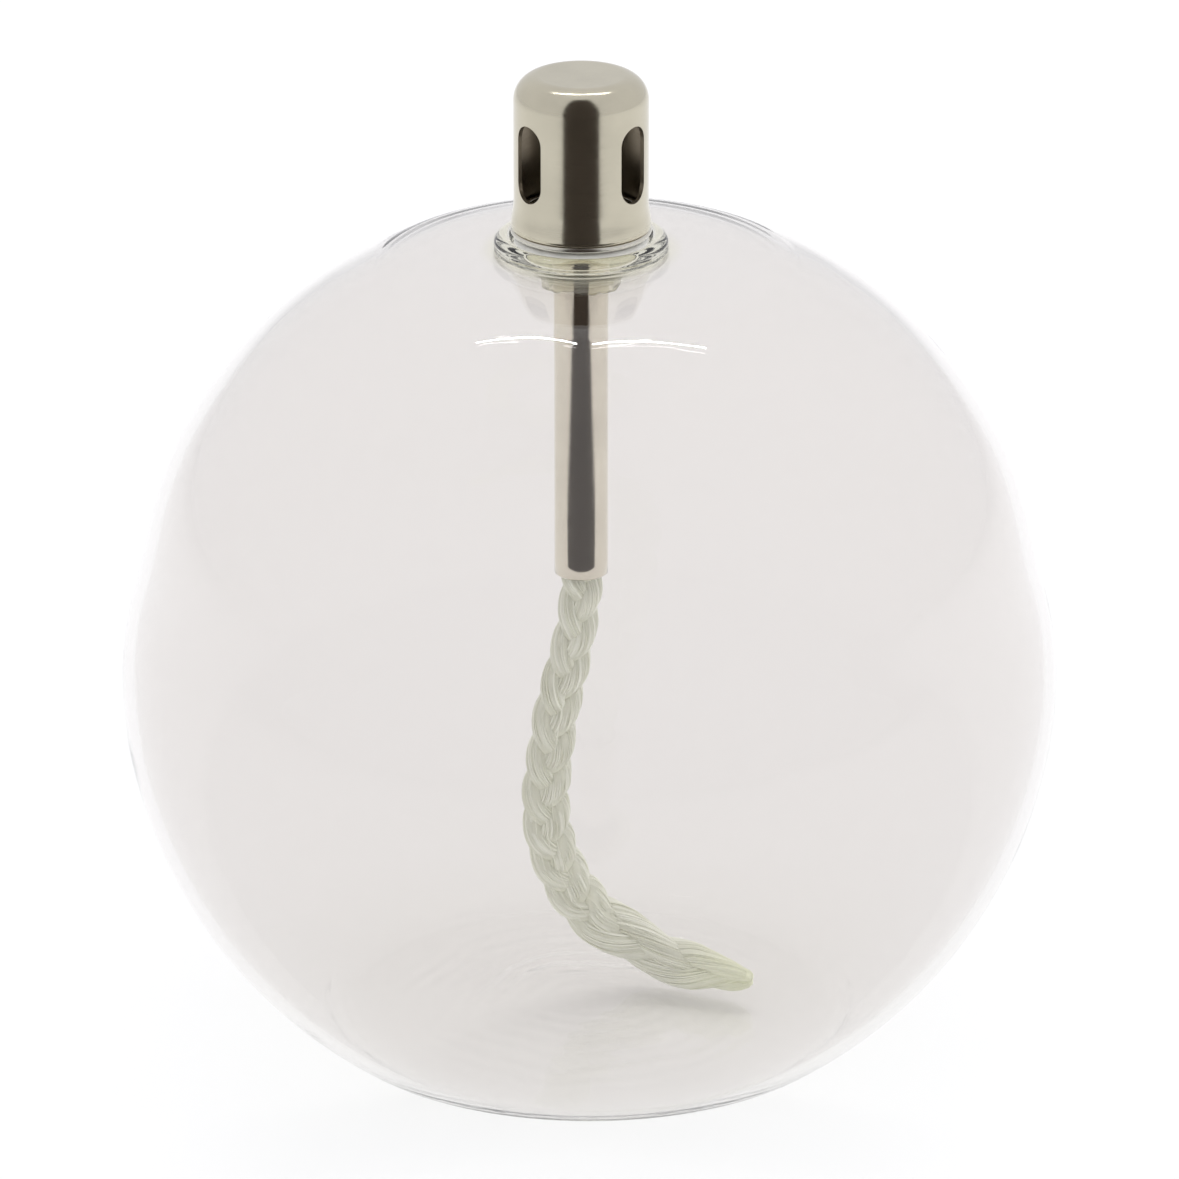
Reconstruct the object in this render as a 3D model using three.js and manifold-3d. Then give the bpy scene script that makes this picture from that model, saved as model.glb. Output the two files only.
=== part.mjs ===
// A blown-glass globe lamp that burns alcohol or lamp oil: a thin glass globe, a metal burner that
// lifts out of its neck, a slotted cap over the burner and a braided glass-fibre wick.
// Millimetres, +Z up. The globe stands on z = 0, centred on the origin; -Y is the front.

import * as THREE from 'three';
import { mergeVertices } from 'three/addons/utils/BufferGeometryUtils.js';
import Module from 'manifold-3d';

const wasm = await Module();
wasm.setup();

// Gap kept between pieces that touch on the real lamp.
const GAP = 0.3;

// Globe: a sphere of blown glass with a flat foot, a slight waist and a slightly full shoulder.
const GLOBE_RADIUS = 60;
const GLOBE_CENTRE_Z = 50;
const GLASS_WALL = 1.5;
const FOOT_WALL = 2.2;
const FOOT_FILLET = 7;
const PUNT_RADIUS = 19;
const PUNT_RISE = 0.3;
const WAIST = { z: 64, spread: 7, depth: 1.15 };
const SHOULDER = { z: 95, spread: 5, depth: -0.3 };

// Neck: a rounded bead, a funnel and a short throat that reaches down into the globe.
// It stands a little to the left of the globe's own centre, as blown glass does.
const NECK_X = -1.05;
const CROWN_RADIUS = 27;
const BEAD_RADIUS = 9.85;
const BEAD_Z = 106.6;
const BEAD_THICKNESS = 1.15;
const THROAT_INNER_RADIUS = 3.95;
const THROAT_OUTER_RADIUS = 4.85;
const THROAT_BOTTOM_Z = 100.7;

// Burner: a flange that rests in the neck on a soft ring, with the wick tube fixed through it.
const FLANGE_RADIUS = 8.93;
const FLANGE_BOTTOM_Z = 108.05;
const FLANGE_THICKNESS = 0.8;
const TUBE_OUTER_RADIUS = 3.42;
const TUBE_INNER_RADIUS = 3.0;
const TUBE_BOTTOM_Z = 62.2;
const TUBE_TOP_Z = 117.5;
const VENT_RADIUS = 0.7;

// Cap: a drawn metal cup, upside down, with three upright slots.
const CAP_BOTTOM_Z = FLANGE_BOTTOM_Z + FLANGE_THICKNESS + 0.05;
const CAP_TOP_Z = 128.75;
const CAP_RADIUS = 8.5;
const CAP_HEM_RADIUS = 8.85;
const CAP_WALL = 0.55;
const CAP_CORNER = 3.2;
const SLOT_WIDTH = 4.6;
const SLOT_BOTTOM_Z = 113.5;
const SLOT_TOP_Z = 123.6;
const SLOT_ANGLES = [-52, 52, 180];

// Wick: the part held in the tube, and the free part that hangs in the globe.
const WICK_RADIUS = 2.7;
const WICK_SPLIT_Z = 64.5;
const WICK_TIP_Z = 120.6;

// Middle line of the free wick, from inside the tube's mouth to the tip on the globe's floor.
const WICK_ROUTE = [
  [-1.05, 0, 64.2],
  [-1.05, 0, 62.2],
  [-1.1, 0, 59.6],
  [-1.5, 0, 56],
  [-2.1, 0, 52.6],
  [-2.9, 0.1, 49.2],
  [-3.6, 0.2, 45.9],
  [-4.3, 0.4, 42.4],
  [-4.8, 0.6, 38.9],
  [-5.2, 0.9, 35.4],
  [-5.6, 1.2, 32.4],
  [-5.7, 1.6, 29.5],
  [-5.5, 2.1, 26.6],
  [-5.1, 2.8, 23.6],
  [-4.3, 3.6, 20.8],
  [-3.2, 4.3, 17.8],
  [-1.6, 5.0, 14.8],
  [0.6, 5.6, 12.0],
  [3.4, 5.9, 9.6],
  [6.6, 5.6, 7.7],
  [9.9, 4.6, 6.4],
  [13.2, 3.0, 5.7],
  [16.6, 1.2, 5.5],
  [21.2, -0.7, 5.4],
];

const material = (name, color, roughness, metalness, opacity = 1) =>
  new THREE.MeshStandardMaterial({
    name, color, roughness, metalness, opacity, transparent: opacity < 1,
  });

const glass = material('glass', 0xe9e6e2, 0.03, 0, 0.3);
const nickel = material('nickel', 0xc6bfae, 0.22, 1);
const steel = material('steel', 0xbdb8aa, 0.3, 1);
const silicone = material('silicone', 0xd9d6cc, 0.55, 0);
const glassFibre = material('glass_fibre', 0xc9cebd, 0.8, 0);

const lamp = new THREE.Group();
lamp.name = 'globe_lamp';

function addPiece(name, geometry, surface, x = 0) {
  const mesh = new THREE.Mesh(geometry, surface);
  mesh.name = name;
  mesh.position.x = x;
  lamp.add(mesh);
}

// Turns an outline of radius and height about the Z axis. The outline runs counter-clockwise
// as seen with the axis on its left, so that the faces point out.
function turned(outline, segments) {
  const points = outline.map(([radius, z]) => new THREE.Vector2(radius, z));
  return new THREE.LatheGeometry(points, segments).rotateX(Math.PI / 2);
}

// A turned ring, whose outline closes on itself.
const turnedRing = (outline, segments) => turned([...outline, outline[0]], segments);

function arc(centreRadius, centreZ, radius, fromDegrees, toDegrees, steps) {
  const points = [];
  for (let i = 0; i <= steps; i += 1) {
    const angle = THREE.MathUtils.degToRad(THREE.MathUtils.lerp(fromDegrees, toDegrees, i / steps));
    points.push([centreRadius + radius * Math.cos(angle), centreZ + radius * Math.sin(angle)]);
  }
  return points;
}

// Points of a cubic curve between two ends, without the first end.
function bend(from, pullFrom, pullTo, to, steps) {
  const ends = [from, pullFrom, pullTo, to].map(([radius, z]) => new THREE.Vector2(radius, z));
  const curve = new THREE.CubicBezierCurve(...ends);
  return curve.getPoints(steps).slice(1).map((point) => [point.x, point.y]);
}

function solidOf(geometry) {
  const bare = geometry.clone();
  bare.deleteAttribute('normal');
  bare.deleteAttribute('uv');
  const merged = mergeVertices(bare, 1e-4);
  const index = [];
  for (let i = 0; i < merged.index.count; i += 3) {
    const corners = [0, 1, 2].map((k) => merged.index.getX(i + k));
    if (new Set(corners).size === 3) {
      index.push(...corners);
    }
  }
  const mesh = new wasm.Mesh({
    numProp: 3,
    vertProperties: new Float32Array(merged.attributes.position.array),
    triVerts: new Uint32Array(index),
  });
  return new wasm.Manifold(mesh);
}

function geometryOf(solid) {
  const mesh = solid.getMesh();
  const geometry = new THREE.BufferGeometry();
  geometry.setAttribute('position', new THREE.BufferAttribute(mesh.vertProperties, 3));
  geometry.setIndex(new THREE.BufferAttribute(mesh.triVerts, 1));
  geometry.computeVertexNormals();
  return geometry;
}

function cut(geometry, tools) {
  const body = tools.reduce((rest, tool) => rest.subtract(solidOf(tool)), solidOf(geometry));
  return geometryOf(body);
}

// A soft bump of one unit at its own height, which fades out above and below.
const bump = (z, { z: centre, spread, depth }) => depth * Math.exp(-(((z - centre) / spread) ** 2) / 2);

// A point of the globe's wall at an angle down from the top, some way in from the outer face.
function wallPoint(degreesFromTop, inset) {
  const angle = THREE.MathUtils.degToRad(degreesFromTop);
  const z = GLOBE_CENTRE_Z + GLOBE_RADIUS * Math.cos(angle);
  const radius = GLOBE_RADIUS - inset - bump(z, WAIST) - bump(z, SHOULDER);
  return [radius * Math.sin(angle), GLOBE_CENTRE_Z + radius * Math.cos(angle)];
}

function wall(fromDegrees, toDegrees, inset, steps) {
  const points = [];
  for (let i = 0; i <= steps; i += 1) {
    points.push(wallPoint(THREE.MathUtils.lerp(fromDegrees, toDegrees, i / steps), inset));
  }
  return points;
}

// Where a fillet between a level floor and the sphere inside it begins and ends.
function footFillet(inset, floorZ, fillet) {
  const reach = GLOBE_RADIUS - inset - fillet;
  const centreZ = floorZ + fillet;
  const centreRadius = Math.sqrt(reach ** 2 - (GLOBE_CENTRE_Z - centreZ) ** 2);
  const tilt = THREE.MathUtils.radToDeg(Math.atan2(centreRadius, GLOBE_CENTRE_Z - centreZ));
  return { centreRadius, centreZ, tilt };
}

function globeOutline() {
  const crown = THREE.MathUtils.radToDeg(Math.asin(CROWN_RADIUS / GLOBE_RADIUS));
  const foot = footFillet(0, 0, FOOT_FILLET);
  const floor = footFillet(GLASS_WALL, FOOT_WALL, FOOT_FILLET - GLASS_WALL);
  const outerCrown = wallPoint(crown, 0);
  const innerCrown = wallPoint(crown, GLASS_WALL);
  const beadFoot = arc(BEAD_RADIUS, BEAD_Z, BEAD_THICKNESS, -35, -35, 1)[0];
  const beadInside = arc(BEAD_RADIUS, BEAD_Z, BEAD_THICKNESS, 205, 205, 1)[0];
  const throatTop = [THROAT_INNER_RADIUS, 102.6];
  const lip = (THROAT_OUTER_RADIUS - THROAT_INNER_RADIUS) / 2;
  const lipCentre = THROAT_INNER_RADIUS + lip;
  const outside = [
    [0, PUNT_RISE],
    [PUNT_RADIUS * 0.5, PUNT_RISE],
    ...bend([PUNT_RADIUS * 0.5, PUNT_RISE], [12.7, PUNT_RISE], [15.8, 0], [PUNT_RADIUS, 0], 4),
    ...arc(foot.centreRadius, foot.centreZ, FOOT_FILLET, -90, foot.tilt - 90, 4),
    ...wall(180 - foot.tilt - 2.5, crown, 0, 20),
  ];
  const neck = [
    ...bend(outerCrown, [23.4, 105.4], [15.5, 106.15], beadFoot, 7),
    ...arc(BEAD_RADIUS, BEAD_Z, BEAD_THICKNESS, -5, 205, 8),
    ...bend(beadInside, [8.0, 105.5], [4.0, 105.2], throatTop, 6),
    ...arc(lipCentre, THROAT_BOTTOM_Z + lip, lip, 180, 360, 6),
    [THROAT_OUTER_RADIUS, 102.4],
  ];
  const inside = [
    ...bend([THROAT_OUTER_RADIUS, 102.4], [5.2, 104.2], [8.6, 104.2], [10.2, 104.35], 5),
    ...bend([10.2, 104.35], [14.8, 104.75], [22.5, 104.2], innerCrown, 6),
    ...wall(crown + 4, 180 - floor.tilt - 2.5, GLASS_WALL, 17),
    ...arc(floor.centreRadius, floor.centreZ, FOOT_FILLET - GLASS_WALL, floor.tilt - 90, -90, 4),
    [PUNT_RADIUS, FOOT_WALL],
    [0, FOOT_WALL],
  ];
  return [...outside, ...neck, ...inside];
}

// Moves the neck sideways from the globe's centre, fading out over the crown.
function setNeckAside(geometry) {
  const place = geometry.attributes.position;
  for (let i = 0; i < place.count; i += 1) {
    const reach = Math.hypot(place.getX(i), place.getY(i));
    const share = 1 - THREE.MathUtils.smoothstep(reach, 13, 32);
    if (place.getZ(i) > GLOBE_CENTRE_Z) {
      place.setX(i, place.getX(i) + NECK_X * share);
    }
  }
  return geometry;
}

const makeGlobe = () => setNeckAside(turned(globeOutline(), 40));

// The soft ring that lies between the bead and the flange.
function makeNeckRing() {
  const thickness = 0.6;
  const centreZ = FLANGE_BOTTOM_Z - GAP - thickness;
  return turnedRing(arc(7.9, centreZ, thickness, 0, 360, 8).slice(0, -1), 32);
}

// A flat disc with an upright rim that locates the cap, a hub for the tube and two vents.
function makeFlange() {
  const bore = TUBE_OUTER_RADIUS + GAP;
  const bottom = FLANGE_BOTTOM_Z;
  const top = bottom + FLANGE_THICKNESS;
  const edge = FLANGE_THICKNESS / 2;
  const rimInside = 7.0;
  const rimOutside = 7.7;
  const rimTop = top + 2.2;
  const hubTop = top + 1.7;
  const disc = turnedRing([
    [bore, bottom],
    ...arc(FLANGE_RADIUS - edge, bottom + edge, edge, -90, 90, 4),
    [rimOutside, top],
    [rimOutside, rimTop],
    [rimInside, rimTop],
    [rimInside, top],
    [bore + 0.9, top],
    [bore + 0.9, hubTop],
    [bore, hubTop],
  ], 40);
  const vents = [-5.8, 5.8].map((y) => {
    const vent = new THREE.CylinderGeometry(VENT_RADIUS, VENT_RADIUS, 6, 10);
    return vent.rotateX(Math.PI / 2).translate(0, y, bottom);
  });
  return cut(disc, vents);
}

// The pressed collar that holds the tube under the flange.
function makeTubeCollar() {
  const bore = TUBE_OUTER_RADIUS + GAP;
  const top = FLANGE_BOTTOM_Z - GAP;
  const bottom = top - 2.1;
  return turnedRing([
    [bore, bottom],
    [4.7, bottom],
    [5.2, bottom + 0.5],
    [5.2, top],
    [bore, top],
  ], 32);
}

function makeWickTube() {
  const soften = 0.12;
  return turnedRing([
    [TUBE_INNER_RADIUS, TUBE_BOTTOM_Z + soften],
    [TUBE_INNER_RADIUS + soften, TUBE_BOTTOM_Z],
    [TUBE_OUTER_RADIUS - soften, TUBE_BOTTOM_Z],
    [TUBE_OUTER_RADIUS, TUBE_BOTTOM_Z + soften],
    [TUBE_OUTER_RADIUS, TUBE_TOP_Z - soften],
    [TUBE_OUTER_RADIUS - soften, TUBE_TOP_Z],
    [TUBE_INNER_RADIUS + soften, TUBE_TOP_Z],
    [TUBE_INNER_RADIUS, TUBE_TOP_Z - soften],
  ], 40);
}

// An upright slot with round ends, long enough to pass through one side of the cap.
function slotTool(degrees) {
  const half = SLOT_WIDTH / 2;
  const outline = new THREE.Shape();
  outline.absarc(0, SLOT_TOP_Z - half, half, 0, Math.PI, false);
  outline.absarc(0, SLOT_BOTTOM_Z + half, half, Math.PI, 2 * Math.PI, false);
  const depth = CAP_HEM_RADIUS + 2;
  const tool = new THREE.ExtrudeGeometry(outline, { depth, bevelEnabled: false, curveSegments: 10 });
  return tool.rotateX(Math.PI / 2).rotateZ(THREE.MathUtils.degToRad(degrees));
}

function makeCap() {
  const cornerRadius = CAP_RADIUS - CAP_CORNER;
  const inner = CAP_CORNER - CAP_WALL;
  const shell = turned([
    [0, CAP_TOP_Z - CAP_WALL],
    ...arc(cornerRadius, CAP_TOP_Z - CAP_CORNER, inner, 90, 0, 5),
    [CAP_RADIUS - CAP_WALL, CAP_BOTTOM_Z + 2.6],
    [CAP_HEM_RADIUS - CAP_WALL, CAP_BOTTOM_Z],
    [CAP_HEM_RADIUS, CAP_BOTTOM_Z],
    [CAP_HEM_RADIUS, CAP_BOTTOM_Z + 0.4],
    [CAP_RADIUS, CAP_BOTTOM_Z + 3],
    ...arc(cornerRadius, CAP_TOP_Z - CAP_CORNER, CAP_CORNER, 0, 90, 7),
    [0, CAP_TOP_Z],
  ], 48);
  return cut(shell, SLOT_ANGLES.map(slotTool));
}

// The part of the wick that the tube holds, with its rounded tip above the tube.
const makeWickCore = () => turned([
  [0, WICK_SPLIT_Z],
  [WICK_RADIUS, WICK_SPLIT_Z],
  [WICK_RADIUS, WICK_TIP_Z - 1.2],
  [WICK_RADIUS - 0.5, WICK_TIP_Z - 0.3],
  [0, WICK_TIP_Z],
], 16);

function makeWickTail() {
  const path = new THREE.CatmullRomCurve3(WICK_ROUTE.map((point) => new THREE.Vector3(...point)));
  const section = new THREE.Shape();
  section.absarc(0, 0, WICK_RADIUS, 0, 2 * Math.PI, false);
  return new THREE.ExtrudeGeometry(section, {
    steps: 30, curveSegments: 5, bevelEnabled: false, extrudePath: path,
  });
}

addPiece('glass_globe', makeGlobe(), glass);
addPiece('neck_ring', makeNeckRing(), silicone, NECK_X);
addPiece('burner_flange', makeFlange(), steel, NECK_X);
addPiece('tube_collar', makeTubeCollar(), steel, NECK_X);
addPiece('wick_tube', makeWickTube(), nickel, NECK_X);
addPiece('slotted_cap', makeCap(), nickel, NECK_X);
addPiece('wick_core', makeWickCore(), glassFibre, NECK_X);
addPiece('wick_tail', makeWickTail(), glassFibre);

export default lamp;
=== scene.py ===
"""A glass globe alcohol burner: clear blown globe, bright metal burner and cap, braided glass-fibre wick.

Metres, +Z up, in the CAD model's frame. The globe stands on z = 0 and -Y is the front.
"""

import math

import bpy
import numpy as np
from mathutils import Matrix, Vector


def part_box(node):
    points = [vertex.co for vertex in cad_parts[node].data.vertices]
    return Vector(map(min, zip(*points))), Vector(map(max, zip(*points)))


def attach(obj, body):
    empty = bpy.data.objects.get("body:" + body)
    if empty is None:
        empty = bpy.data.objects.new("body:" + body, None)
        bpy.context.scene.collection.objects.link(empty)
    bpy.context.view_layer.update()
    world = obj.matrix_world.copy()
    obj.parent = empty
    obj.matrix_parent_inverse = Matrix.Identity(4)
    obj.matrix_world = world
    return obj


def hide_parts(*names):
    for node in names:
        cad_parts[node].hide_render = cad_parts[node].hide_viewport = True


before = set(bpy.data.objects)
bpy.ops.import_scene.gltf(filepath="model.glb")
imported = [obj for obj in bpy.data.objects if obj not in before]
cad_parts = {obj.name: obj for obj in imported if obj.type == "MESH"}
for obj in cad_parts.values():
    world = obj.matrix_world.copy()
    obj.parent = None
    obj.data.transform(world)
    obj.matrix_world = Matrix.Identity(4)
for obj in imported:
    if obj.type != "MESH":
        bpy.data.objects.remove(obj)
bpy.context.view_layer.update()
MM = 0.001
RNG = np.random.default_rng(7)

# ---------------------------------------------------------------- sizes, from the CAD model

CAP_LOW, CAP_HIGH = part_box("slotted_cap")
TUBE_LOW, TUBE_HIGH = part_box("wick_tube")
FLANGE_LOW, FLANGE_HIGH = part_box("burner_flange")
COLLAR_LOW, COLLAR_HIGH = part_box("tube_collar")
RING_LOW, RING_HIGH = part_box("neck_ring")
WICK_LOW, WICK_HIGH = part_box("wick_core")

NECK_X = (CAP_LOW.x + CAP_HIGH.x) / 2
GLOBE_RADIUS = 60 * MM
GLOBE_CENTRE_Z = 50 * MM
GLASS_WALL = 1.5 * MM
FOOT_WALL = 2.2 * MM
FOOT_FILLET = 7 * MM
PUNT_RADIUS = 19 * MM
PUNT_RISE = 0.3 * MM
CROWN_RADIUS = 27 * MM
BEAD_RADIUS = 9.85 * MM
BEAD_Z = 106.6 * MM
BEAD_THICKNESS = 1.15 * MM
THROAT_INNER_RADIUS = 3.95 * MM
THROAT_OUTER_RADIUS = 4.85 * MM
THROAT_BOTTOM_Z = 100.7 * MM
# Height, size and depth of two shallow rings in the wall. The second stands out instead of in.
WAIST = (64 * MM, 7 * MM, 1.15 * MM)
SHOULDER = (95 * MM, 5 * MM, -0.3 * MM)
ROUGH_EDGE_TOP_Z = 102 * MM
RIPPLES_RADIUS = 28 * MM
# In millimetres from the globe's axis: the neck moves aside whole within the first, fading out by the second.
NECK_REACH, CROWN_REACH = 13, 32
CAP_CORNER = 3.2 * MM
CAP_FLARE = 0.35 * MM
CAP_WALL = 0.55 * MM
TUBE_WALL = 0.42 * MM
COLLAR_BORE = 3.72 * MM
RING_RADIUS = 7.9 * MM
SLOT_WIDTH = 4.6 * MM
SLOT_BOTTOM_Z = 113.5 * MM
SLOT_TOP_Z = 123.6 * MM
SLOT_ANGLES = (-52, 52, 180)
VENT_RADIUS = 0.7 * MM
VENT_PLACES = (-5.8 * MM, 5.8 * MM)
WICK_RADIUS = 2.7 * MM
GLOBE_MIDDLE = Vector((0, 0, 60 * MM))
GLASS_TINT = (0.878, 0.860, 0.846)
# Greener tint of the neck's bead and throat: a painted reflection, standing in for the olive metal burner
# seen through the glass.
NECK_PAINTED_REFLECTION = (0.80, 0.79, 0.68)

# Middle line of the free wick, from inside the tube's mouth to its tip on the globe's floor.
WICK_ROUTE = [
    (-0.00105, 0, 0.0642),
    (-0.00105, 0, 0.0622),
    (-0.0011, 0, 0.0596),
    (-0.0015, 0, 0.056),
    (-0.0021, 0, 0.0526),
    (-0.0029, 0.0001, 0.0492),
    (-0.0036, 0.0002, 0.0459),
    (-0.0043, 0.0004, 0.0424),
    (-0.0048, 0.0006, 0.0389),
    (-0.0052, 0.0009, 0.0354),
    (-0.0056, 0.0012, 0.0324),
    (-0.0057, 0.0016, 0.0295),
    (-0.0055, 0.0021, 0.0266),
    (-0.0051, 0.0028, 0.0236),
    (-0.0043, 0.0036, 0.0208),
    (-0.0032, 0.0043, 0.0178),
    (-0.0016, 0.005, 0.0148),
    (0.0006, 0.0056, 0.012),
    (0.0034, 0.0059, 0.0096),
    (0.0066, 0.0056, 0.0077),
    (0.0099, 0.0046, 0.0064),
    (0.0132, 0.003, 0.0057),
    (0.0166, 0.0012, 0.0055),
    (0.0212, -0.0007, 0.0054),
]

# ---------------------------------------------------------------- camera

CAMERA_ELEVATION = math.radians(21.318)
CAMERA_DISTANCE = 1.1404
CAMERA_AIM = Vector((0, 0, 0.0597))
CAMERA_LENS = 272.55


def add_camera():
    data = bpy.data.cameras.new("camera")
    data.lens = CAMERA_LENS
    data.sensor_width = 36
    camera = bpy.data.objects.new("camera", data)
    bpy.context.scene.collection.objects.link(camera)
    back = Vector((0, -math.cos(CAMERA_ELEVATION), math.sin(CAMERA_ELEVATION)))
    camera.location = CAMERA_AIM + back * CAMERA_DISTANCE
    camera.rotation_euler = (math.pi / 2 - CAMERA_ELEVATION, 0, 0)
    bpy.context.scene.camera = camera


# ---------------------------------------------------------------- mesh helpers


def new_object(name, points, faces, smooth=True):
    mesh = bpy.data.meshes.new(name)
    mesh.from_pydata([tuple(p) for p in points], [], faces)
    mesh.validate()
    mesh.update()
    if smooth:
        mesh.polygons.foreach_set("use_smooth", [True] * len(mesh.polygons))
    piece = bpy.data.objects.new(name, mesh)
    bpy.context.scene.collection.objects.link(piece)
    return piece


def arc(radius, z, size, start, end, steps):
    angles = np.radians(np.linspace(start, end, steps + 1))
    return [(radius + size * math.cos(a), z + size * math.sin(a)) for a in angles]


def bend(start, pull_start, pull_end, end, steps):
    """Points of a cubic curve, without its first."""
    t = np.linspace(0, 1, steps + 1)[1:, None]
    a, b, c, d = (np.array(p) for p in (start, pull_start, pull_end, end))
    curve = (1 - t) ** 3 * a + 3 * (1 - t) ** 2 * t * b + 3 * (1 - t) * t**2 * c + t**3 * d
    return [tuple(p) for p in curve]


def softened(outline, rounds, closed):
    """Cuts the corners of an outline, so that a shiny surface has no hard creases."""
    points = np.array(outline, float)
    for _ in range(rounds):
        following = np.roll(points, -1, 0) if closed else points[1:]
        own = points if closed else points[:-1]
        cut = np.stack([0.75 * own + 0.25 * following, 0.25 * own + 0.75 * following], 1)
        cut = cut.reshape(-1, 2)
        points = cut if closed else np.vstack([points[:1], cut, points[-1:]])
    return points


def turned(name, outline, segments, centre_x=0.0, closed=True):
    """Turns an outline of radius and height about the Z axis. An open one starts and ends on the axis."""
    outline = np.array(outline, float)
    ring = outline if closed else outline[1:-1]
    angles = np.arange(segments) * 2 * math.pi / segments
    points = [
        (centre_x + r * math.cos(a), r * math.sin(a), z) for r, z in ring for a in angles
    ]
    rows = len(ring) if closed else len(ring) - 1
    faces = []
    for row in range(rows):
        low, high = row * segments, (row + 1) % len(ring) * segments
        for k in range(segments):
            nxt = (k + 1) % segments
            faces.append((low + k, low + nxt, high + nxt, high + k))
    if not closed:
        first, last = len(points), len(points) + 1
        points += [(centre_x, 0, outline[0][1]), (centre_x, 0, outline[-1][1])]
        top = (len(ring) - 1) * segments
        for k in range(segments):
            nxt = (k + 1) % segments
            faces.append((first, nxt, k))
            faces.append((last, top + k, top + nxt))
    return new_object(name, points, faces)


def finish(piece, body, node, material):
    """Gives a piece its material and the body it rides on, and hides the CAD node that it stands for."""
    piece.data.materials.append(material)
    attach(piece, body)
    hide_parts(node)


# ---------------------------------------------------------------- materials


def node_material(name):
    material = bpy.data.materials.new(name)
    material.use_nodes = True
    nodes, links = material.node_tree.nodes, material.node_tree.links
    shader = nodes["Principled BSDF"]
    return material, nodes, links, shader


def noise(nodes, links, scale, detail, vector=None, stretch=None):
    """A noise texture on the object's own coordinates, in features per metre."""
    if vector is None:
        vector = nodes.new("ShaderNodeTexCoord").outputs["Object"]
    if stretch:
        mapping = nodes.new("ShaderNodeMapping")
        mapping.inputs["Scale"].default_value = stretch
        links.new(vector, mapping.inputs["Vector"])
        vector = mapping.outputs["Vector"]
    texture = nodes.new("ShaderNodeTexNoise")
    texture.inputs["Scale"].default_value = scale
    texture.inputs["Detail"].default_value = detail
    links.new(vector, texture.inputs["Vector"])
    return texture.outputs["Fac"]


def ramp(nodes, links, value, stops):
    node = nodes.new("ShaderNodeValToRGB")
    while len(node.color_ramp.elements) < len(stops):
        node.color_ramp.elements.new(0.5)
    for element, (place, colour) in zip(node.color_ramp.elements, stops):
        element.position = place
        element.color = (*colour, 1)
    links.new(value, node.inputs["Fac"])
    return node.outputs["Color"]


def spread(nodes, links, value, low, high):
    node = nodes.new("ShaderNodeMapRange")
    node.inputs["To Min"].default_value = low
    node.inputs["To Max"].default_value = high
    links.new(value, node.inputs["Value"])
    return node.outputs["Result"]


def bump(nodes, links, shader, height, strength, distance):
    node = nodes.new("ShaderNodeBump")
    node.inputs["Strength"].default_value = strength
    node.inputs["Distance"].default_value = distance
    links.new(height, node.inputs["Height"])
    links.new(node.outputs["Normal"], shader.inputs["Normal"])


def arithmetic(nodes, links, value, operation, number, other=None):
    """One step of arithmetic on a value, with a number or with another value."""
    node = nodes.new("ShaderNodeMath")
    node.operation = operation
    node.inputs[1].default_value = number
    links.new(value, node.inputs[0])
    if other is not None:
        links.new(other, node.inputs[1])
    return node.outputs["Value"]


def fade(nodes, links, value, start, end, most=1.0):
    """Rises from nothing where the value is at its start to the most where it is at its end."""
    node = nodes.new("ShaderNodeMapRange")
    node.inputs["From Min"].default_value = start
    node.inputs["From Max"].default_value = end
    node.inputs["To Max"].default_value = most
    links.new(value, node.inputs["Value"])
    return node.outputs["Result"]


def mixed(nodes, links, share, first, second):
    mix = nodes.new("ShaderNodeMixShader")
    links.new(share, mix.inputs["Fac"])
    links.new(first, mix.inputs[1])
    links.new(second, mix.inputs[2])
    return mix.outputs["Shader"]


def blurred_mirror(nodes, links):
    """One for a ray that a rough shiny surface sent out, and nothing for any other."""
    path = nodes.new("ShaderNodeLightPath")
    blurred = arithmetic(nodes, links, path.outputs["Is Singular Ray"], "LESS_THAN", 0.5)
    return arithmetic(nodes, links, path.outputs["Is Glossy Ray"], "MULTIPLY", 0, blurred)


def reach_and_height(nodes, links, axis_x):
    """How far a point is from an upright axis, and how high it is."""
    place = nodes.new("ShaderNodeTexCoord").outputs["Object"]
    parts = nodes.new("ShaderNodeSeparateXYZ")
    links.new(place, parts.inputs["Vector"])
    sideways = arithmetic(nodes, links, parts.outputs["X"], "SUBTRACT", axis_x)
    squared_x = arithmetic(nodes, links, sideways, "POWER", 2)
    squared_y = arithmetic(nodes, links, parts.outputs["Y"], "POWER", 2)
    total = arithmetic(nodes, links, squared_x, "ADD", 0, squared_y)
    return arithmetic(nodes, links, total, "POWER", 0.5), parts.outputs["Z"]


def neck_share(nodes, links):
    """Where the neck's painted reflection goes: one inside the neck's bead and throat, fading to nothing over
    the crown around it.
    """
    reach, height = reach_and_height(nodes, links, NECK_X)
    near = fade(nodes, links, reach, 13 * MM, 10.6 * MM)
    high = arithmetic(nodes, links, height, "GREATER_THAN", 90 * MM)
    return arithmetic(nodes, links, near, "MULTIPLY", 0, high)


def foot_ripples(nodes, links):
    """Fine uneven rings left in the foot where the hot globe was set down."""
    rings = nodes.new("ShaderNodeTexWave")
    rings.wave_type = "RINGS"
    rings.rings_direction = "Z"
    rings.inputs["Scale"].default_value = 95
    rings.inputs["Distortion"].default_value = 12
    rings.inputs["Detail"].default_value = 2
    rings.inputs["Detail Scale"].default_value = 0.35
    links.new(nodes.new("ShaderNodeTexCoord").outputs["Object"], rings.inputs["Vector"])
    reach, height = reach_and_height(nodes, links, 0)
    low = fade(nodes, links, height, 7 * MM, 2.5 * MM)
    part_way = arithmetic(nodes, links, reach, "DIVIDE", RIPPLES_RADIUS)
    plain, rippled = (0, 0, 0), (0.7, 0.7, 0.7)
    inner = ramp(nodes, links, part_way, [(0.05, plain), (0.3, rippled), (0.82, rippled), (1.0, plain)])
    share = arithmetic(nodes, links, low, "MULTIPLY", 0, inner)
    return arithmetic(nodes, links, rings.outputs["Fac"], "MULTIPLY", 0, share)


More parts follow.
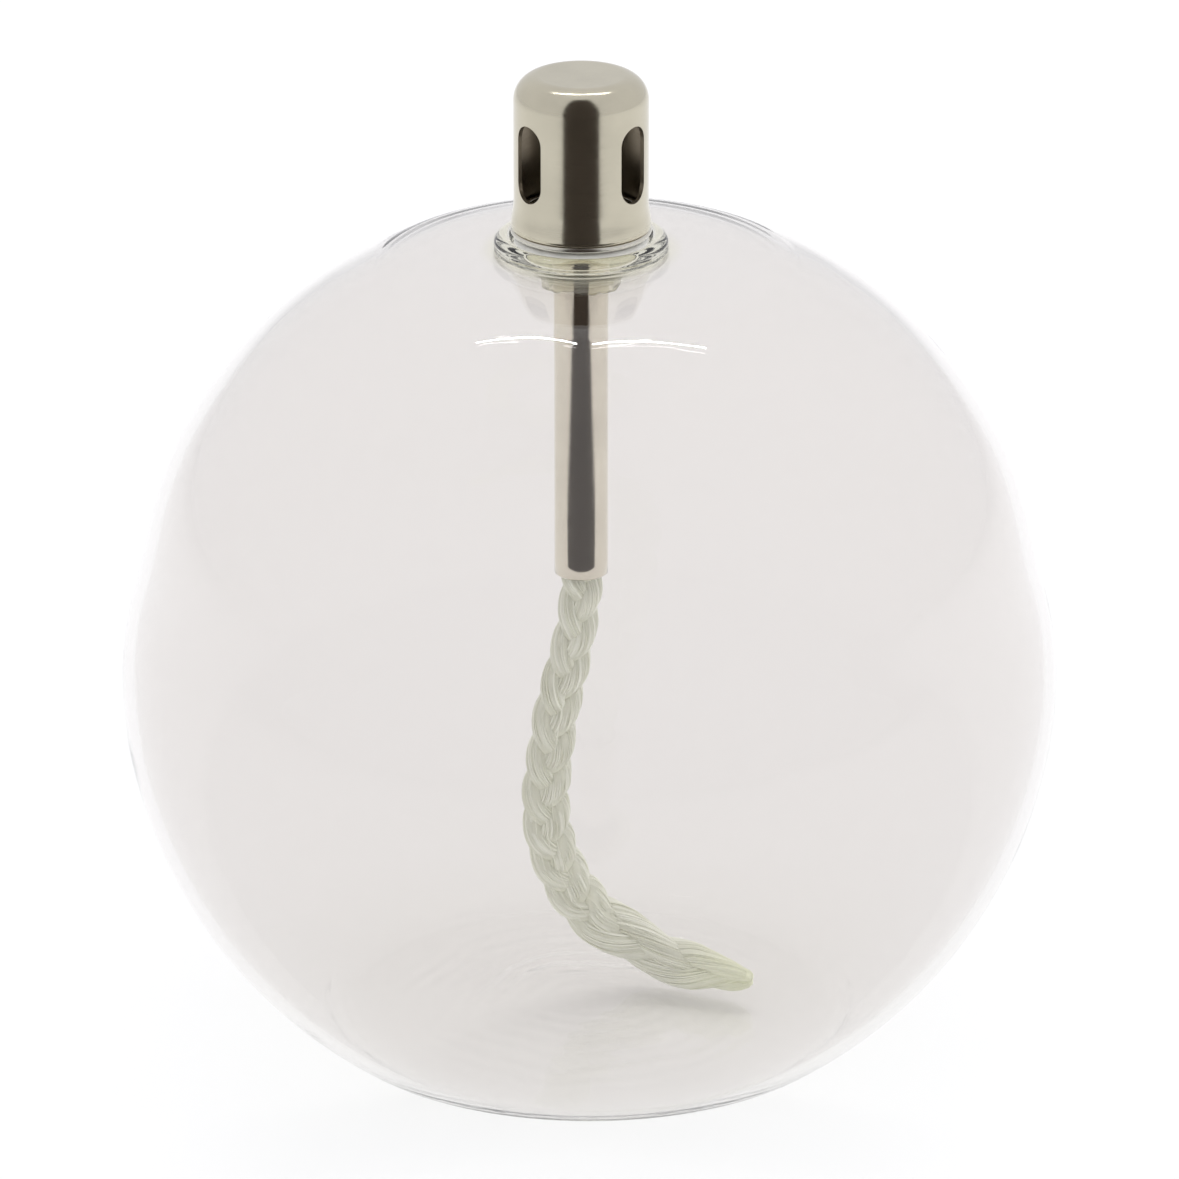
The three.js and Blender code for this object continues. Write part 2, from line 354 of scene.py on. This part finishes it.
def glass_material():
    """Clear blown glass with slow waves, a rippled foot and a neck painted greener: a painted reflection of
    the metal burner seen through the bead and throat.

    Blurred mirror rays, diffuse rays and shadow rays go straight through it, so that it neither darkens
    the floor nor hides the room from the metal inside it.
    """
    material, nodes, links, shader = node_material("blown_glass")
    # Painted reflection: the glass turns olive over the neck, where the metal burner would show through it.
    tint = ramp(nodes, links, neck_share(nodes, links), [(0.0, GLASS_TINT), (1.0, NECK_PAINTED_REFLECTION)])
    links.new(tint, shader.inputs["Base Color"])
    shader.inputs["Roughness"].default_value = 0.0
    shader.inputs["IOR"].default_value = 1.47
    shader.inputs["Transmission Weight"].default_value = 1.0
    waves = noise(nodes, links, 38, 1.0, stretch=(1, 1, 1.6))
    height = arithmetic(nodes, links, waves, "ADD", 0, foot_ripples(nodes, links))
    bump(nodes, links, shader, height, 0.05, 0.6 * MM)
    clear = nodes.new("ShaderNodeBsdfTransparent")
    clear.inputs["Color"].default_value = (0.985, 0.985, 0.98, 1)
    path = nodes.new("ShaderNodeLightPath")
    surface = shader.outputs["BSDF"]
    straight = (blurred_mirror(nodes, links), path.outputs["Is Diffuse Ray"], path.outputs["Is Shadow Ray"])
    for share in straight:
        surface = mixed(nodes, links, share, surface, clear.outputs["BSDF"])
    links.new(surface, nodes["Material Output"].inputs["Surface"])
    return material


def metal_material(name, colour, roughness, streak):
    """Bright drawn metal with fine marks that run round it."""
    material, nodes, links, shader = node_material(name)
    shader.inputs["Metallic"].default_value = 1.0
    darker = tuple(c * 0.93 for c in colour)
    lighter = tuple(min(1, c * 1.04) for c in colour)
    tone = noise(nodes, links, 160, 4.0)
    links.new(ramp(nodes, links, tone, [(0.3, darker), (0.7, lighter)]), shader.inputs["Base Color"])
    marks = noise(nodes, links, 300, 3.0, stretch=(1, 1, 14))
    links.new(spread(nodes, links, marks, roughness * 0.7, roughness * 1.35), shader.inputs["Roughness"])
    bump(nodes, links, shader, marks, streak, 0.02 * MM)
    return material


def silicone_material():
    material, nodes, links, shader = node_material("milky_silicone")
    tone = noise(nodes, links, 500, 3.0)
    links.new(
        ramp(nodes, links, tone, [(0.3, (0.62, 0.61, 0.57)), (0.7, (0.72, 0.71, 0.67))]),
        shader.inputs["Base Color"],
    )
    shader.inputs["Roughness"].default_value = 0.5
    bump(nodes, links, shader, tone, 0.2, 0.05 * MM)
    return material


def wick_material():
    """Glass fibre, greenish white, yellower where its cut end is sealed."""
    material, nodes, links, shader = node_material("glass_fibre")
    along = nodes.new("ShaderNodeAttribute")
    along.attribute_name = "along"
    strand = nodes.new("ShaderNodeAttribute")
    strand.attribute_name = "shade"
    body = ramp(
        nodes, links, strand.outputs["Fac"],
        [(0.0, (0.52, 0.52, 0.38)), (0.5, (0.78, 0.78, 0.65)), (1.0, (0.94, 0.94, 0.83))],
    )
    tip = nodes.new("ShaderNodeMix")
    tip.data_type = "RGBA"
    tip.inputs["B"].default_value = (0.88, 0.90, 0.60, 1)
    links.new(fade(nodes, links, along.outputs["Fac"], 0.86, 1.0, 0.75), tip.inputs["Factor"])
    links.new(body, tip.inputs["A"])
    links.new(tip.outputs["Result"], shader.inputs["Base Color"])
    shader.inputs["Roughness"].default_value = 0.42
    shader.inputs["Specular IOR Level"].default_value = 0.5
    shader.inputs["Subsurface Weight"].default_value = 0.25
    shader.inputs["Subsurface Radius"].default_value = (1, 1, 1)
    shader.inputs["Subsurface Scale"].default_value = 0.6 * MM
    return material


# ---------------------------------------------------------------- globe


def swell(z, feature):
    centre, size, depth = feature
    return depth * math.exp(-(((z - centre) / size) ** 2) / 2)


def wall_point(degrees, inset):
    """A point of the globe's wall at an angle down from the top, some way in from the outer face."""
    angle = math.radians(degrees)
    z = GLOBE_CENTRE_Z + GLOBE_RADIUS * math.cos(angle)
    radius = GLOBE_RADIUS - inset - swell(z, WAIST) - swell(z, SHOULDER)
    return radius * math.sin(angle), GLOBE_CENTRE_Z + radius * math.cos(angle)


def wall(start, end, inset, steps):
    return [wall_point(degrees, inset) for degrees in np.linspace(start, end, steps + 1)]


def foot_fillet(inset, floor_z, fillet):
    """Where the round edge between the foot and the sphere is centred, and how far it turns."""
    reach = GLOBE_RADIUS - inset - fillet
    z = floor_z + fillet
    radius = math.sqrt(reach**2 - (GLOBE_CENTRE_Z - z) ** 2)
    return radius, z, math.degrees(math.atan2(radius, GLOBE_CENTRE_Z - z))


def outer_wall(crown):
    """From the middle of the foot, out over its shallow hollow and round edge, and up to the crown."""
    foot_radius, foot_z, foot_tilt = foot_fillet(0, 0, FOOT_FILLET)
    half_punt = (PUNT_RADIUS / 2, PUNT_RISE)
    return [
        (0, PUNT_RISE),
        (PUNT_RADIUS / 4, PUNT_RISE),
        half_punt,
        *bend(half_punt, (12.7 * MM, PUNT_RISE), (15.8 * MM, 0), (PUNT_RADIUS, 0), 12),
        (25 * MM, 0),
        *arc(foot_radius, foot_z, FOOT_FILLET, -90, foot_tilt - 90, 14),
        *wall(180 - foot_tilt - 1.5, crown, 0, 64),
    ]


def neck(start, throat_root):
    """Up the crown, round the bead at the mouth, and down the throat to its root on the inside."""
    bead_foot = arc(BEAD_RADIUS, BEAD_Z, BEAD_THICKNESS, -35, -35, 1)[0]
    bead_inside = arc(BEAD_RADIUS, BEAD_Z, BEAD_THICKNESS, 205, 205, 1)[0]
    throat_top = (THROAT_INNER_RADIUS, 102.6 * MM)
    lip = (THROAT_OUTER_RADIUS - THROAT_INNER_RADIUS) / 2
    return [
        *bend(start, (23.4 * MM, 105.4 * MM), (15.5 * MM, 106.15 * MM), bead_foot, 28),
        *arc(BEAD_RADIUS, BEAD_Z, BEAD_THICKNESS, -5, 205, 28),
        *bend(bead_inside, (8.0 * MM, 105.5 * MM), (4.0 * MM, 105.2 * MM), throat_top, 18),
        *arc(THROAT_INNER_RADIUS + lip, THROAT_BOTTOM_Z + lip, lip, 180, 360, 14),
        throat_root,
    ]


def inner_wall(crown, throat_root):
    """From the throat's root under the crown, down the wall and across the floor to its middle."""
    inner_fillet = FOOT_FILLET - GLASS_WALL
    floor_radius, floor_z, floor_tilt = foot_fillet(GLASS_WALL, FOOT_WALL, inner_fillet)
    under_bead = (10.2 * MM, 104.35 * MM)
    inner_crown = wall_point(crown, GLASS_WALL)
    return [
        *bend(throat_root, (5.2 * MM, 104.2 * MM), (8.6 * MM, 104.2 * MM), under_bead, 14),
        *bend(under_bead, (14.8 * MM, 104.75 * MM), (22.5 * MM, 104.2 * MM), inner_crown, 24),
        *wall(crown + 1.5, 180 - floor_tilt - 1.5, GLASS_WALL, 60),
        *arc(floor_radius, floor_z, inner_fillet, floor_tilt - 90, -90, 12),
        (25 * MM, FOOT_WALL),
        (PUNT_RADIUS, FOOT_WALL),
        (PUNT_RADIUS / 2, FOOT_WALL),
        (PUNT_RADIUS / 4, FOOT_WALL),
        (0, FOOT_WALL),
    ]


def globe_outline():
    crown = math.degrees(math.asin(CROWN_RADIUS / GLOBE_RADIUS))
    throat_root = (THROAT_OUTER_RADIUS, 102.4 * MM)
    outside = outer_wall(crown)
    return [*outside, *neck(outside[-1], throat_root), *inner_wall(crown, throat_root)]


def ragged(angle):
    """How far the throat's broken lower edge rises at an angle."""
    waves = 0.5 * math.sin(3 * angle + 1) + 0.3 * math.sin(7 * angle + 2) + 0.2 * math.sin(17 * angle)
    return (0.45 + 0.45 * waves) * MM


def set_neck_aside(piece):
    """Breaks the throat's edge, and moves the neck sideways, fading out over the crown."""
    for vertex in piece.data.vertices:
        place = vertex.co
        if place.z <= GLOBE_CENTRE_Z:
            continue
        reach = math.hypot(place.x, place.y) / MM
        if place.z < ROUGH_EDGE_TOP_Z and reach < 6:
            share = (ROUGH_EDGE_TOP_Z - place.z) / (ROUGH_EDGE_TOP_Z - THROAT_BOTTOM_Z)
            place.z += ragged(math.atan2(place.y, place.x)) * share
        t = min(max((reach - NECK_REACH) / (CROWN_REACH - NECK_REACH), 0), 1)
        place.x += NECK_X * (1 - t * t * (3 - 2 * t))


def add_globe(glass):
    piece = turned("blown_globe", softened(globe_outline(), 2, False), 192, closed=False)
    set_neck_aside(piece)
    finish(piece, "globe", "glass_globe", glass)


# ---------------------------------------------------------------- burner and cap


def add_wick_tube(nickel):
    outer = (TUBE_HIGH.x - TUBE_LOW.x) / 2
    inner = outer - TUBE_WALL
    soft = 0.12 * MM
    outline = [
        (inner, TUBE_LOW.z + soft),
        (inner + soft, TUBE_LOW.z),
        (outer - soft, TUBE_LOW.z),
        (outer, TUBE_LOW.z + soft),
        (outer, TUBE_HIGH.z - soft),
        (outer - soft, TUBE_HIGH.z),
        (inner + soft, TUBE_HIGH.z),
        (inner, TUBE_HIGH.z - soft),
    ]
    edged = []
    for start, end in zip(outline, outline[1:] + outline[:1]):
        edged += [start, tuple(np.array(start) * 0.97 + np.array(end) * 0.03)]
        edged += [tuple(np.array(start) * 0.03 + np.array(end) * 0.97)]
    piece = turned("bright_tube", edged, 128, NECK_X)
    finish(piece, "burner", "wick_tube", nickel)


def add_flange(steel):
    outer = (FLANGE_HIGH.x - FLANGE_LOW.x) / 2
    bottom = FLANGE_LOW.z
    top = bottom + 0.8 * MM
    bore = COLLAR_BORE
    outline = [
        (bore, bottom),
        (outer - 1 * MM, bottom),
        *arc(outer - 0.4 * MM, bottom + 0.4 * MM, 0.4 * MM, -90, 90, 12),
        (7.75 * MM, top),
        (7.7 * MM, top + 0.1 * MM),
        (7.7 * MM, FLANGE_HIGH.z - 0.1 * MM),
        (7.6 * MM, FLANGE_HIGH.z),
        (7.1 * MM, FLANGE_HIGH.z),
        (7.0 * MM, FLANGE_HIGH.z - 0.1 * MM),
        (7.0 * MM, top + 0.1 * MM),
        (6.9 * MM, top),
        (bore + 1 * MM, top),
        (bore + 0.9 * MM, top + 0.1 * MM),
        (bore + 0.9 * MM, top + 1.6 * MM),
        (bore + 0.8 * MM, top + 1.7 * MM),
        (bore, top + 1.7 * MM),
    ]
    piece = turned("turned_flange", softened(outline, 2, True), 128, NECK_X)
    cut_holes(piece, [vent_cutter(y) for y in VENT_PLACES])
    piece.data.set_sharp_from_angle(angle=math.radians(40))
    finish(piece, "burner", "burner_flange", steel)


def add_collar(steel):
    bore = COLLAR_BORE
    outer = (COLLAR_HIGH.x - COLLAR_LOW.x) / 2
    outline = [
        (bore, COLLAR_LOW.z),
        (outer - 0.5 * MM, COLLAR_LOW.z),
        (outer, COLLAR_LOW.z + 0.5 * MM),
        (outer, COLLAR_HIGH.z),
        (bore, COLLAR_HIGH.z),
    ]
    piece = turned("pressed_collar", softened(outline, 3, True), 96, NECK_X)
    finish(piece, "burner", "tube_collar", steel)


def add_neck_ring(silicone):
    size = (RING_HIGH.z - RING_LOW.z) / 2
    outline = arc(RING_RADIUS, RING_LOW.z + size, size, 0, 345, 23)
    piece = turned("seal_ring", outline, 96, NECK_X)
    finish(piece, "burner", "neck_ring", silicone)


def cap_outline():
    hem = (CAP_HIGH.x - CAP_LOW.x) / 2
    side = hem - CAP_FLARE
    corner = side - CAP_CORNER
    inner = CAP_CORNER - CAP_WALL
    bottom, top = CAP_LOW.z, CAP_HIGH.z
    outside = [
        (hem - 0.05 * MM, bottom),
        (hem, bottom + 0.08 * MM),
        (hem, bottom + 0.4 * MM),
        *bend((hem, bottom + 0.4 * MM), (hem, bottom + 1.3 * MM), (side, bottom + 2 * MM),
              (side, bottom + 3.6 * MM), 14),
        *[(side, z) for z in np.linspace(bottom + 4 * MM, top - CAP_CORNER - 0.3 * MM, 12)],
        *arc(corner, top - CAP_CORNER, CAP_CORNER, 0, 90, 28),
        (corner * 0.6, top),
        (corner * 0.2, top),
        (0, top),
    ]
    inside = [
        (0, top - CAP_WALL),
        (corner * 0.6, top - CAP_WALL),
        *arc(corner, top - CAP_CORNER, inner, 90, 0, 14),
        (side - CAP_WALL, bottom + 2.8 * MM),
        (hem - CAP_WALL, bottom + 0.1 * MM),
        (hem - CAP_WALL + 0.1 * MM, bottom),
    ]
    return [*inside, *outside]


def prism(near, far):
    """A closed bar between two equal rims, to cut a hole with."""
    count = len(near)
    faces = [tuple(range(count - 1, -1, -1)), tuple(range(count, 2 * count))]
    for k in range(count):
        nxt = (k + 1) % count
        faces.append((k, nxt, count + nxt, count + k))
    aside = Vector((NECK_X, 0, 0))
    return new_object("cutter", [Vector(p) + aside for p in [*near, *far]], faces, False)


def slot_cutter(degrees):
    """An upright bar with round ends, from inside the cap's middle to beyond its wall."""
    half = SLOT_WIDTH / 2
    steps = 24
    rim = [
        *arc(0, SLOT_TOP_Z - half, half, 0, 180, steps),
        *arc(0, SLOT_BOTTOM_Z + half, half, 180, 360, steps),
    ]
    turn = Matrix.Rotation(math.radians(degrees), 3, "Z")
    near, far = ([turn @ Vector((x, y, z)) for x, z in rim] for y in (-4 * MM, -12 * MM))
    return prism(near, far)


def vent_cutter(y):
    """A round upright bar through the flange's disc."""
    rim = arc(0, y, VENT_RADIUS, 0, 360, 32)[:-1]
    low, high = FLANGE_LOW.z - 1 * MM, FLANGE_LOW.z + 2 * MM
    return prism([(x, y, low) for x, y in rim], [(x, y, high) for x, y in rim])


def cut_holes(piece, cutters):
    for cutter in cutters:
        cut = piece.modifiers.new("hole", "BOOLEAN")
        cut.operation = "DIFFERENCE"
        cut.solver = "EXACT"
        cut.object = cutter
    graph = bpy.context.evaluated_depsgraph_get()
    mesh = bpy.data.meshes.new_from_object(piece.evaluated_get(graph))
    piece.modifiers.clear()
    piece.data = mesh
    for cutter in cutters:
        bpy.data.objects.remove(cutter)


def cap_side():
    return (CAP_HIGH.x - CAP_LOW.x) / 2 - CAP_FLARE


def cap_normal(point):
    """The true outward direction of the cap's outer face at a point, for clean reflections."""
    corner, top = cap_side() - CAP_CORNER, CAP_HIGH.z
    x, y = point.x - NECK_X, point.y
    radial = Vector((x, y, 0))
    reach = radial.length
    if reach < 1e-6:
        return Vector((0, 0, 1))
    radial /= reach
    if point.z < top - CAP_CORNER:
        return radial
    if reach <= corner:
        return Vector((0, 0, 1))
    return (radial * (reach - corner) + Vector((0, 0, point.z - (top - CAP_CORNER)))).normalized()


def smooth_by_shape(piece):
    """Gives each corner the direction of the turned surface that it lies on, or at a cut its face's."""
    mesh = piece.data
    flared = CAP_LOW.z + 3.8 * MM
    normals = [None] * len(mesh.loops)
    vertex_normals = [v.normal.copy() for v in mesh.vertices]
    for face in mesh.polygons:
        for loop in face.loop_indices:
            index = mesh.loops[loop].vertex_index
            point = mesh.vertices[index].co
            best = face.normal
            shape = cap_normal(point)
            for candidate in (shape, -shape):
                if face.normal.dot(candidate) > 0.93:
                    best = candidate
            if point.z < flared:
                own = vertex_normals[index]
                best = own if face.normal.dot(own) > 0.7 else face.normal
            normals[loop] = best
    mesh.normals_split_custom_set(normals)


def darken_inside(piece, material):
    """Puts a darker, browner and rougher metal on everything but the cap's outer face: its darker colour is
    painted shade in the cap's hollow.
    """
    piece.data.materials.append(material)
    wall_middle = cap_side() - CAP_WALL / 2
    for face in piece.data.polygons:
        reach = math.hypot(face.center.x - NECK_X, face.center.y)
        on_top = face.center.z > CAP_HIGH.z - CAP_CORNER
        faces_out = face.normal.dot(cap_normal(face.center)) > 0.9
        face.material_index = 0 if faces_out and (reach > wall_middle or on_top) else 1


def add_cap(nickel, shade_painted_metal):
    piece = turned("slotted_cover", [*cap_outline()], 224, NECK_X, closed=False)
    cut_holes(piece, [slot_cutter(degrees) for degrees in SLOT_ANGLES])
    piece.data.polygons.foreach_set("use_smooth", [True] * len(piece.data.polygons))
    smooth_by_shape(piece)
    finish(piece, "cap", "slotted_cap", nickel)
    darken_inside(piece, shade_painted_metal)


# ---------------------------------------------------------------- wick


def through(points, count):
    """Evenly spaced points on one smooth curve through the route's points."""
    points = np.array(points, float)
    ends = np.vstack([2 * points[0] - points[1], points, 2 * points[-1] - points[-2]])
    dense = []
    for a, b, c, d in zip(ends, ends[1:], ends[2:], ends[3:]):
        t = np.linspace(0, 1, 40, endpoint=False)[:, None]
        dense.append(
            0.5 * (2 * b + (c - a) * t + (2 * a - 5 * b + 4 * c - d) * t**2 + (3 * b - a - 3 * c + d) * t**3)
        )
    dense = np.vstack([*dense, points[-1:]])
    length = np.concatenate([[0], np.cumsum(np.linalg.norm(np.diff(dense, axis=0), axis=1))])
    even = np.linspace(0, length[-1], count)
    return np.stack([np.interp(even, length, dense[:, k]) for k in range(3)], 1), length[-1]


def frames(line):
    """Sideways directions along a line: across is level with the view, deep points away from the front."""
    ahead = np.gradient(line, axis=0)
    ahead /= np.linalg.norm(ahead, axis=1)[:, None]
    across = np.cross(ahead, [0, 1, 0])
    across /= np.linalg.norm(across, axis=1)[:, None]
    return across, np.cross(across, ahead)


class Bundle:
    """Many fine fibres, gathered into one mesh with the attributes that the wick's material reads."""

    def __init__(self):
        self.points, self.faces, self.along, self.shade = [], [], [], []

    def tube(self, line, radii, sides, along, shade):
        across, deep = frames(line)
        start = len(self.points)
        angles = np.arange(sides) * 2 * math.pi / sides
        for k, place in enumerate(line):
            for a in angles:
                self.points.append(place + radii[k] * (math.cos(a) * across[k] + math.sin(a) * deep[k]))
                self.along.append(along[k])
                self.shade.append(shade)
        for k in range(len(line) - 1):
            low, high = start + k * sides, start + (k + 1) * sides
            for j in range(sides):
                nxt = (j + 1) % sides
                self.faces.append((low + j, low + nxt, high + nxt, high + j))
        last = start + (len(line) - 1) * sides
        self.faces.append(tuple(start + j for j in reversed(range(sides))))
        self.faces.append(tuple(last + j for j in range(sides)))

    def rest_on(self, level):
        """Flattens what would lie under a level against it."""
        for point in self.points:
            point[2] = max(point[2], level)

    def made(self, name):
        piece = new_object(name, self.points, self.faces)
        for label, values in (("along", self.along), ("shade", self.shade)):
            layer = piece.data.attributes.new(label, "FLOAT", "POINT")
            layer.data.foreach_set("value", values)
        return piece


STRANDS = 3
PLAIT_PITCH = 16 * MM


def braid(bundle, line, length, tip_from, fibres, along, widths):
    """Three strands of fibres plaited along a line, whose half width runs through widths.

    Beyond tip_from the strands come loose, lie side by side and draw together at the end.
    """
    count = len(line)
    s = np.linspace(0, 1, count)
    across, deep = frames(line)
    loosen = np.clip((s - tip_from) / (1 - tip_from), 0, 1)
    rounding = np.clip((s - 0.955) / 0.045, 0, 1) * min(loosen[-1], 1)
    half = np.interp(s, np.linspace(0, 1, len(widths)), widths) * np.sqrt(1 - 0.8 * rounding**2)
    phase = (s - 0.55 * np.clip(s - tip_from, 0, 1)) * length / PLAIT_PITCH * 2 * math.pi
    size = half * (0.56 - 0.04 * loosen)
    wide = half - size
    high = 0.24 * half * (1 - 0.4 * loosen)
    for k in range(STRANDS):
        turn = phase + k * 2 * math.pi / STRANDS
        centre = line + (wide * np.sin(turn))[:, None] * across + (high * np.sin(2 * turn))[:, None] * deep
        bundle.tube(centre, size * 0.9, 18, along, 0.45)
        for j in range(fibres):
            angle = 2 * math.pi * (j + RNG.uniform(-0.4, 0.4)) / fibres + k
            twist = angle + s * length / (40 * MM) * 2 * math.pi
            waver = 1 + 0.03 * np.sin(s * length / (3.1 * MM) + RNG.uniform(0, 6.3))
            reach = size * RNG.uniform(0.88, 0.96) * waver
            end = count - int(RNG.integers(0, 5))
            path = centre + (reach * np.cos(twist))[:, None] * across
            path = path + (reach * np.sin(twist))[:, None] * deep
            radii = np.full(count, RNG.uniform(0.10, 0.19) * MM)
            bundle.tube(path[:end], radii[:end], 5, along[:end], RNG.uniform(0.3, 0.9))


def stray_fibres(bundle, line, number):
    """Single fibres that have sprung loose from the braid."""
    across, deep = frames(line)
    count = len(line)
    for _ in range(number):
        first = int(RNG.integers(10, count - 60))
        span = int(RNG.integers(25, 55))
        piece = slice(first, first + span)
        t = np.linspace(0, 1, span)
        angle = RNG.uniform(0, 2 * math.pi)
        lift = WICK_RADIUS * (0.85 + RNG.uniform(0.1, 0.45) * t**1.5)
        path = line[piece] + (lift * math.cos(angle))[:, None] * across[piece]
        path = path + (lift * math.sin(angle))[:, None] * deep[piece]
        bundle.tube(path, np.full(span, 0.045 * MM), 4, np.full(span, 0.3), RNG.uniform(0.6, 1.0))


def add_wick(fibre):
    line, length = through(WICK_ROUTE, 260)
    tail = Bundle()
    widths = [w * MM for w in (2.6, 2.7, 2.85, 3.0, 3.1, 3.2, 3.35, 3.5, 3.55, 3.2, 1.9)]
    braid(tail, line, length, 0.7, 42, np.linspace(0, 1, 260), widths)
    stray_fibres(tail, line, 26)
    tail.rest_on(2.75 * MM)
    piece = tail.made("braided_wick_tail")
    finish(piece, "wick", "wick_tail", fibre)
    core_ends = [(NECK_X, 0, z) for z in np.linspace(WICK_HIGH.z, WICK_LOW.z, 12)]
    core_line, core_length = through(core_ends, 120)
    core = Bundle()
    braid(core, core_line, core_length, 0.999, 30, np.zeros(120), [2.6 * MM, 2.6 * MM])
    upper = core.made("braided_wick_core")
    finish(upper, "wick", "wick_core", fibre)


# ---------------------------------------------------------------- studio


def add_floor():
    side = 6.0
    corners = [(-side, -side, 0), (side, -side, 0), (side, side, 0), (-side, side, 0)]
    floor = new_object("floor", corners, [(0, 1, 2, 3)], False)
    floor.location.z = -0.05 * MM
    material, nodes, links, shader = node_material("floor_paper")
    tone = noise(nodes, links, 3, 2.0)
    links.new(
        ramp(nodes, links, tone, [(0.3, (0.93, 0.93, 0.93)), (0.7, (0.95, 0.95, 0.95))]),
        shader.inputs["Base Color"],
    )
    shader.inputs["Roughness"].default_value = 0.9
    shader.inputs["Specular IOR Level"].default_value = 0.1
    floor.data.materials.append(material)


def add_dark_card(name, corners):
    """A dark card in front, which only blurred mirror rays see: it draws the metal's dark stripe."""
    card = new_object(name, corners, [(0, 1, 2, 3)], False)
    material, nodes, links, shader = node_material(name)
    shader.inputs["Base Color"].default_value = (0.060, 0.050, 0.044, 1)
    shader.inputs["Roughness"].default_value = 1.0
    shader.inputs["Specular IOR Level"].default_value = 0.0
    clear = nodes.new("ShaderNodeBsdfTransparent")
    mirrored = blurred_mirror(nodes, links)
    surface = mixed(nodes, links, mirrored, clear.outputs["BSDF"], shader.outputs["BSDF"])
    links.new(surface, nodes["Material Output"].inputs["Surface"])
    card.data.materials.append(material)


def add_dark_cards():
    near, far, low, high = -85 * MM, -270 * MM, 1 * MM, 1150 * MM
    flat, upright = 175 * MM, 158 * MM
    add_dark_card(
        "dark_card_flat",
        [(-flat, far, low), (flat, far, low), (flat, near, low), (-flat, near, low)],
    )
    add_dark_card(
        "dark_card_upright",
        [(-upright, far, low), (-upright, far, high), (upright, far, high), (upright, far, low)],
    )


def add_area_light(name, centre, aim, width, length, watts):
    data = bpy.data.lights.new(name, "AREA")
    data.shape = "RECTANGLE"
    data.size, data.size_y = width, length
    data.energy = watts
    light = bpy.data.objects.new(name, data)
    bpy.context.scene.collection.objects.link(light)
    light.location = centre
    light.rotation_euler = (aim - Vector(centre)).to_track_quat("-Z", "Y").to_euler()
    light.visible_camera = False
    return light


def add_strip(name, start, end, width, watts):
    """A narrow lamp between two points that faces the globe: it draws a thin bright line on the glass."""
    start, end = Vector(start), Vector(end)
    light = add_area_light(name, (start + end) / 2, GLOBE_MIDDLE, (end - start).length, width, watts)
    along = (end - start).normalized()
    back = (light.location - GLOBE_MIDDLE).normalized()
    back = (back - back.dot(along) * along).normalized()
    turn = Matrix((along, back.cross(along), back)).transposed()
    light.rotation_euler = turn.to_euler()


def add_softbox(name, place, watts):
    """A wide soft lamp that no mirror or glass shows."""
    softbox = add_area_light(name, place, GLOBE_MIDDLE, 1.1, 0.8, watts)
    softbox.visible_glossy = False
    softbox.visible_transmission = False


def add_lights():
    add_strip("strip_left", (-0.371, 0.355, 1.05), (-0.037, 0.240, 1.05), 0.004, 0.6)
    add_strip("strip_right", (0.014, 0.240, 1.05), (0.373, 0.355, 1.05), 0.004, 0.6)
    add_softbox("overhead_softbox", (0.1, 0.75, 1.6), 5)
    add_softbox("side_softbox", (1.5, -0.5, 0.9), 2.5)


def add_world():
    """An even pale room."""
    world = bpy.data.worlds.new("studio")
    bpy.context.scene.world = world
    world.use_nodes = True
    background = world.node_tree.nodes["Background"]
    background.inputs["Color"].default_value = (0.97, 0.97, 0.99, 1)
    background.inputs["Strength"].default_value = 0.88


def set_colour():
    bpy.context.scene.view_settings.view_transform = "Standard"
    bpy.context.scene.view_settings.look = "None"


def let_light_run_on():
    """Lets rays bounce often enough to come out of the glass again where it guides them along."""
    cycles = bpy.context.scene.cycles
    cycles.max_bounces = 40
    cycles.glossy_bounces = 40
    cycles.transmission_bounces = 40
    cycles.diffuse_bounces = 4


# ---------------------------------------------------------------- the scene

add_camera()
add_wick(wick_material())
add_globe(glass_material())
bright = metal_material("bright_nickel", (0.566, 0.53, 0.425), 0.16, 0.3)
plain = metal_material("plain_steel", (0.60, 0.58, 0.52), 0.22, 0.35)
add_wick_tube(metal_material("tube_nickel", (0.69, 0.64, 0.55), 0.12, 0.25))
# The cap's inside gets a darker, browner metal: painted shade in the cap's hollow and slot walls.
add_cap(bright, metal_material("painted_shade_inside", (0.42, 0.36, 0.27), 0.42, 0.3))
add_flange(plain)
add_collar(plain)
add_neck_ring(silicone_material())
add_floor()
add_dark_cards()
add_lights()
add_world()
set_colour()
let_light_run_on()
